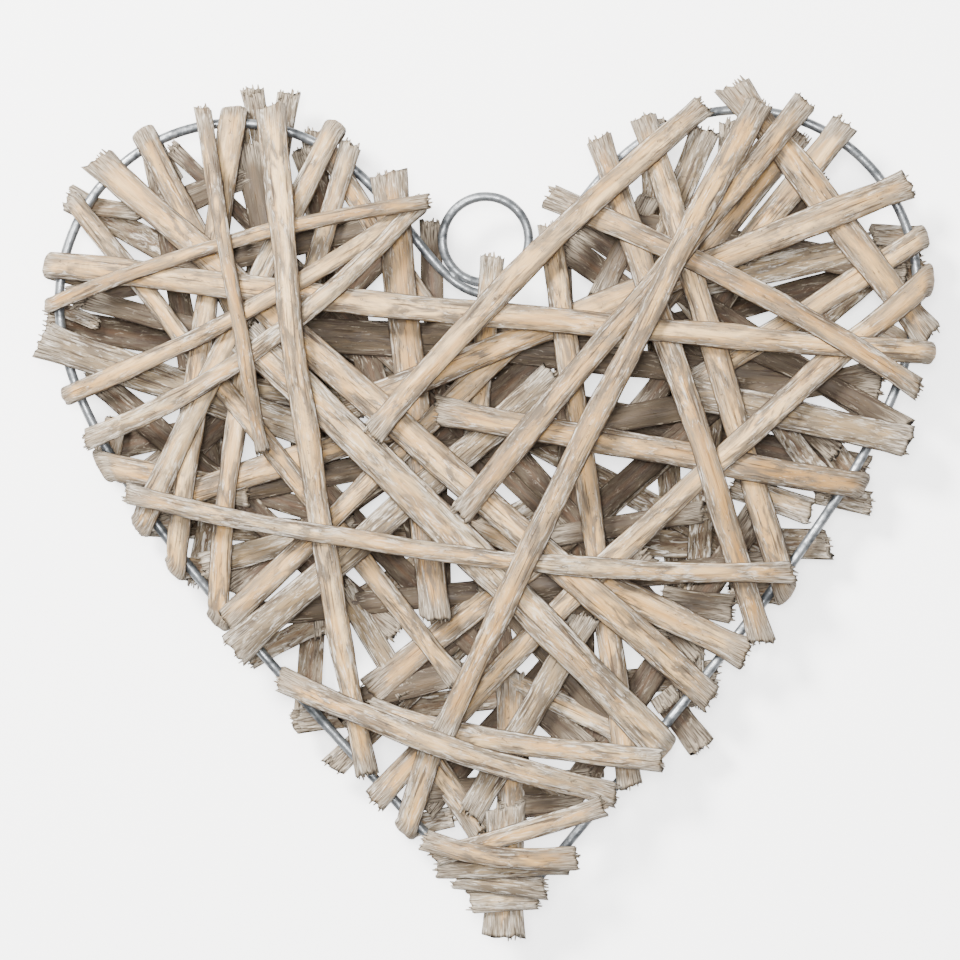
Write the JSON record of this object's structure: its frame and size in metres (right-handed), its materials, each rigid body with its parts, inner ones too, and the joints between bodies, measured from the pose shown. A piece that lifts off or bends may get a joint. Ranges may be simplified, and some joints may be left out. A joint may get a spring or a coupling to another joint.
{
  "type": "wicker heart",
  "caption": "Hanging heart of split willow strips laid crosswise over and under a bent wire outline, some folded round it, with a wire ring at the notch.",
  "frame": {"origin": "under the middle of the heart, on the surface that it lies on", "axes": "+X to the right across both lobes, +Y from the tip to the lobes, +Z out of the front"},
  "size_m": [0.2986, 0.282, 0.0388],
  "materials": {
    "willow_bark": "peeled and split willow, cream to tan, with grey grain streaks and whitish patches, dry and matte",
    "willow_back": "older, greyer split willow with the rough pith side showing, dry and matte",
    "galvanised_wire": "galvanised steel wire, mid grey with soft highlights"
  },
  "bodies": {
    "root": {"heart_wire_frame": "galvanised_wire", "hanging_ring": "galvanised_wire", "front_strip_01": "willow_bark", "front_strip_02": "willow_bark", "front_strip_03": "willow_bark", "front_strip_04": "willow_bark", "front_strip_05": "willow_bark", "front_strip_06": "willow_bark", "front_strip_07": "willow_bark", "front_strip_08": "willow_bark", "front_strip_09": "willow_bark", "front_strip_10": "willow_bark", "front_strip_11": "willow_bark", "front_strip_12": "willow_bark", "front_strip_13": "willow_bark", "front_strip_14": "willow_bark", "front_strip_15": "willow_bark", "front_strip_16": "willow_bark", "front_strip_17": "willow_bark", "front_strip_18": "willow_bark", "front_strip_19": "willow_bark", "front_strip_20": "willow_bark", "front_strip_21": "willow_bark", "front_strip_22": "willow_bark", "front_strip_23": "willow_bark", "front_strip_24": "willow_bark", "front_strip_25": "willow_bark", "front_strip_26": "willow_bark", "front_strip_27": "willow_bark", "front_strip_28": "willow_bark", "front_strip_29": "willow_bark", "front_strip_30": "willow_bark", "front_strip_31": "willow_bark", "front_strip_32": "willow_bark", "front_strip_33": "willow_bark", "front_strip_34": "willow_bark", "front_strip_35": "willow_bark", "front_strip_36": "willow_bark", "front_strip_37": "willow_bark", "front_strip_38": "willow_bark", "front_strip_39": "willow_bark", "front_strip_40": "willow_bark", "front_strip_41": "willow_bark", "front_strip_42": "willow_bark", "front_strip_43": "willow_bark", "front_strip_44": "willow_bark", "front_strip_45": "willow_bark", "front_strip_46": "willow_bark", "front_strip_47": "willow_bark", "front_strip_48": "willow_bark", "front_strip_49": "willow_bark", "back_strip_01": "willow_back", "back_strip_02": "willow_back", "back_strip_03": "willow_back", "back_strip_04": "willow_back", "back_strip_05": "willow_back", "back_strip_06": "willow_back", "back_strip_07": "willow_back", "back_strip_08": "willow_back", "back_strip_09": "willow_back"}
  },
  "joints": []
}
